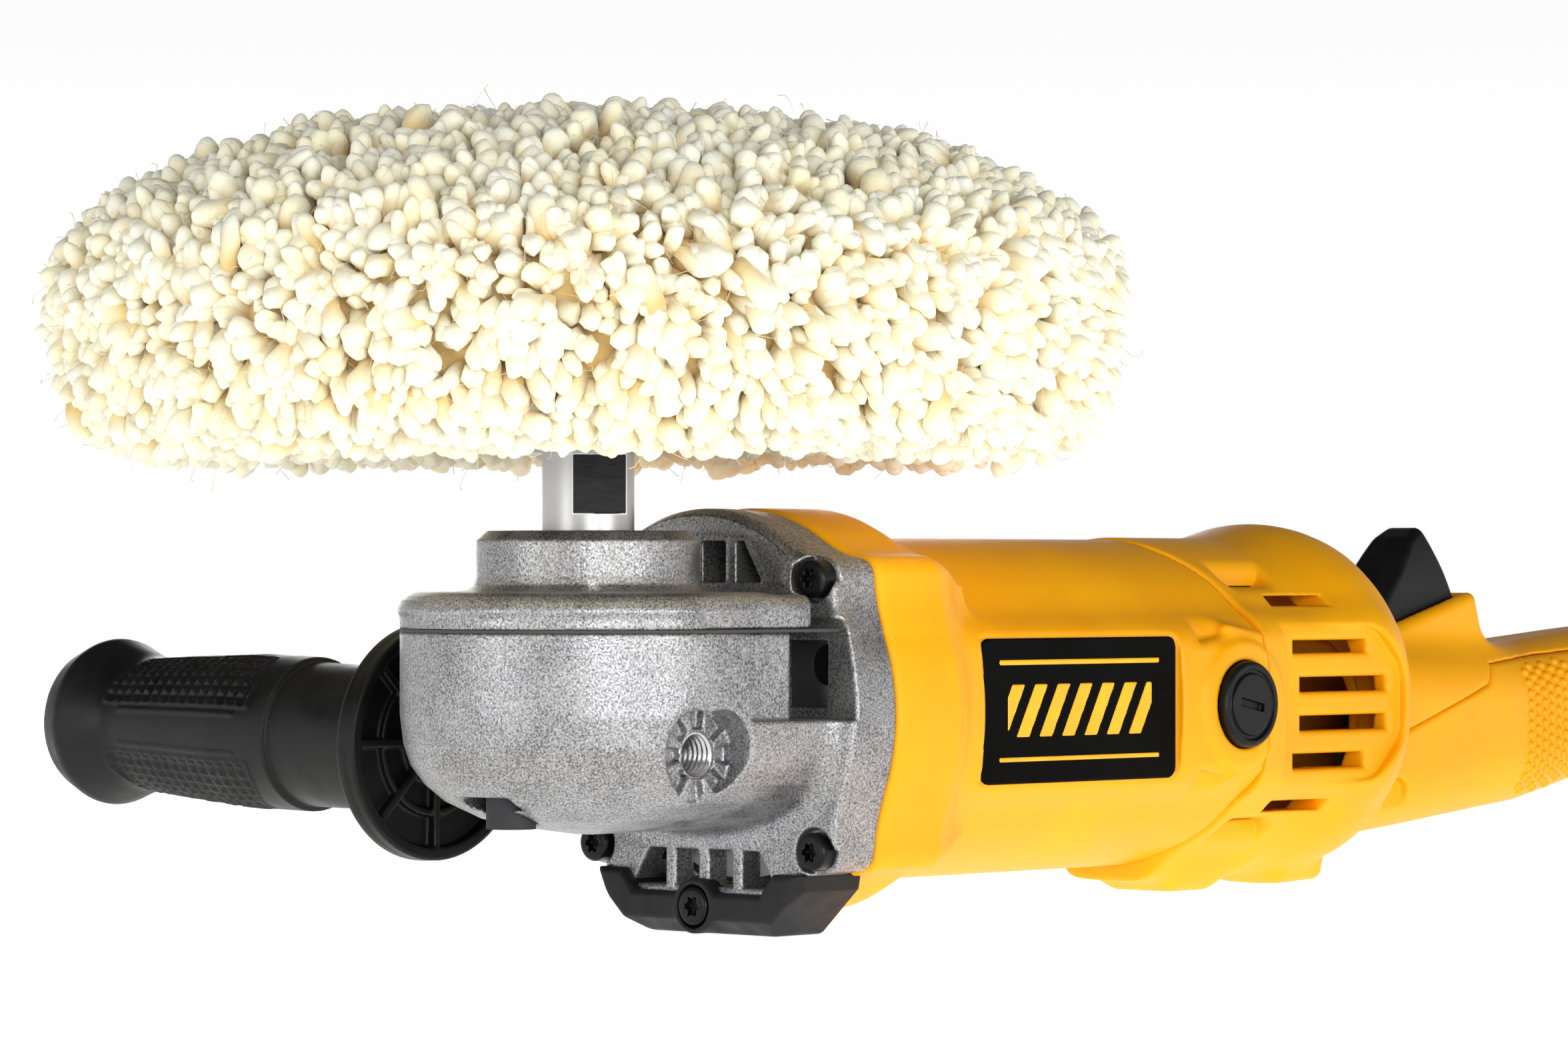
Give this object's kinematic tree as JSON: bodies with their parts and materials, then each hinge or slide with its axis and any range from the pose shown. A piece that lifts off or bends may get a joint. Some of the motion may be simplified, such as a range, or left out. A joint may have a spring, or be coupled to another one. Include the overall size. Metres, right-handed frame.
{
  "type": "rotary polisher",
  "caption": "Corded rotary polisher with a wool pad on a right-angle spindle, an inline rear handle with a trigger and a screw-in side handle.",
  "frame": {"origin": "under the middle of the whole tool, on the surface that it stands on", "axes": "+Z along the spindle towards the pad, which points up as the tool is set down; +X along the motor towards the rear handle; +Y along the side handle"},
  "size_m": [0.5067, 0.2489, 0.157],
  "materials": {
    "cast_aluminium": "bead-blasted casting",
    "gasket_dark": "matte",
    "black_screw": "black oxide",
    "steel": "satin",
    "bronze": "sintered bronze",
    "fan_plastic": "matte",
    "laminations": "stacked steel",
    "copper": "enamelled wire",
    "brass": "satin",
    "carbon": "matte graphite",
    "yellow_shell": "fine satin texture",
    "black_plastic": "fine matte texture",
    "label": "satin film",
    "circuit_board": "potted board",
    "black_rubber": "matte",
    "wool": "twisted wool pile"
  },
  "bodies": {
    "tool": {"gear_case": "cast_aluminium", "gear_case_cover": "cast_aluminium", "bearing_plate": "cast_aluminium", "bearing_carrier": "cast_aluminium", "cover_gasket": "gasket_dark", "spindle_seal": "gasket_dark", "bell_screws": "black_screw", "bumper_screw": "black_screw", "spindle_bearing": "steel", "counter_bearing": "steel", "counter_rear_bearing": "steel", "armature_front_bearing": "steel", "armature_rear_bearing": "steel", "trigger_pin": "steel", "trigger_spring": "steel", "brush_springs": "steel", "dial_pin": "steel", "side_handle_stud": "steel", "spindle_bush": "bronze", "fan_baffle": "fan_plastic", "stator_core": "laminations", "field_windings": "copper", "brush_holders": "brass", "carbon_brushes": "carbon", "motor_housing": "yellow_shell", "rear_housing": "yellow_shell", "handle_lower_shell": "yellow_shell", "handle_upper_shell": "yellow_shell", "brush_caps": "black_plastic", "cable_inlet": "black_plastic", "switch_body": "black_plastic", "side_handle_guard": "black_plastic", "label_plates": "label", "speed_module": "circuit_board", "bumper": "black_rubber", "side_handle_grip": "black_rubber"},
    "spindle": {"spindle": "steel", "ring_gear": "steel", "backing_plate": "black_rubber", "pad_hub": "steel", "wool_pad": "wool"},
    "countershaft": {"counter_shaft": "steel", "counter_gear": "steel"},
    "armature": {"armature_shaft": "steel", "cooling_fan": "fan_plastic", "armature_core": "laminations", "armature_windings": "copper", "commutator": "copper"},
    "trigger": {"trigger": "black_plastic"},
    "lock_on_button": {"lock_on_button": "black_plastic"},
    "speed_dial": {"speed_dial": "black_plastic"},
    "spindle_lock": {"lock_button": "black_plastic"}
  },
  "joints": [
    {"name": "spindle_spin", "type": "hinge", "parent": "tool", "child": "spindle", "pos_m": [-0.1521, -0.0232, 0.06], "axis": [0, 0, 1], "continuous": true},
    {"name": "countershaft_spin", "type": "hinge", "parent": "tool", "child": "countershaft", "pos_m": [-0.1321, -0.0232, 0.03], "axis": [1, 0, 0], "continuous": true},
    {"name": "armature_spin", "type": "hinge", "parent": "tool", "child": "armature", "pos_m": [-0.0521, -0.0232, 0.0435], "axis": [1, 0, 0], "continuous": true},
    {"name": "trigger_squeeze", "type": "hinge", "parent": "tool", "child": "trigger", "pos_m": [0.0859, -0.0232, 0.057], "axis": [0, 1, 0], "range_deg": [0, 7], "stiffness_Nm_per_rad": 4, "springref_deg": -3.44, "deforming": ["trigger_spring"]},
    {"name": "lock_on_press", "type": "slide", "parent": "tool", "child": "lock_on_button", "axis": [0, -1, 0], "range_m": [0, 0.0018], "stiffness_N_per_m": 400, "springref_m": -0.001},
    {"name": "dial_turn", "type": "hinge", "parent": "tool", "child": "speed_dial", "pos_m": [0.1049, -0.0232, 0.0248], "axis": [0, 1, 0], "range_deg": [0, 270]},
    {"name": "spindle_lock_press", "type": "slide", "parent": "tool", "child": "spindle_lock", "axis": [0, 0, 1], "range_m": [0, 0.0028], "stiffness_N_per_m": 400, "springref_m": -0.001}
  ],
  "couplings": [
    {"joint": "countershaft_spin", "follows": "spindle_spin", "ratio": -4},
    {"joint": "armature_spin", "follows": "spindle_spin", "ratio": 8}
  ]
}
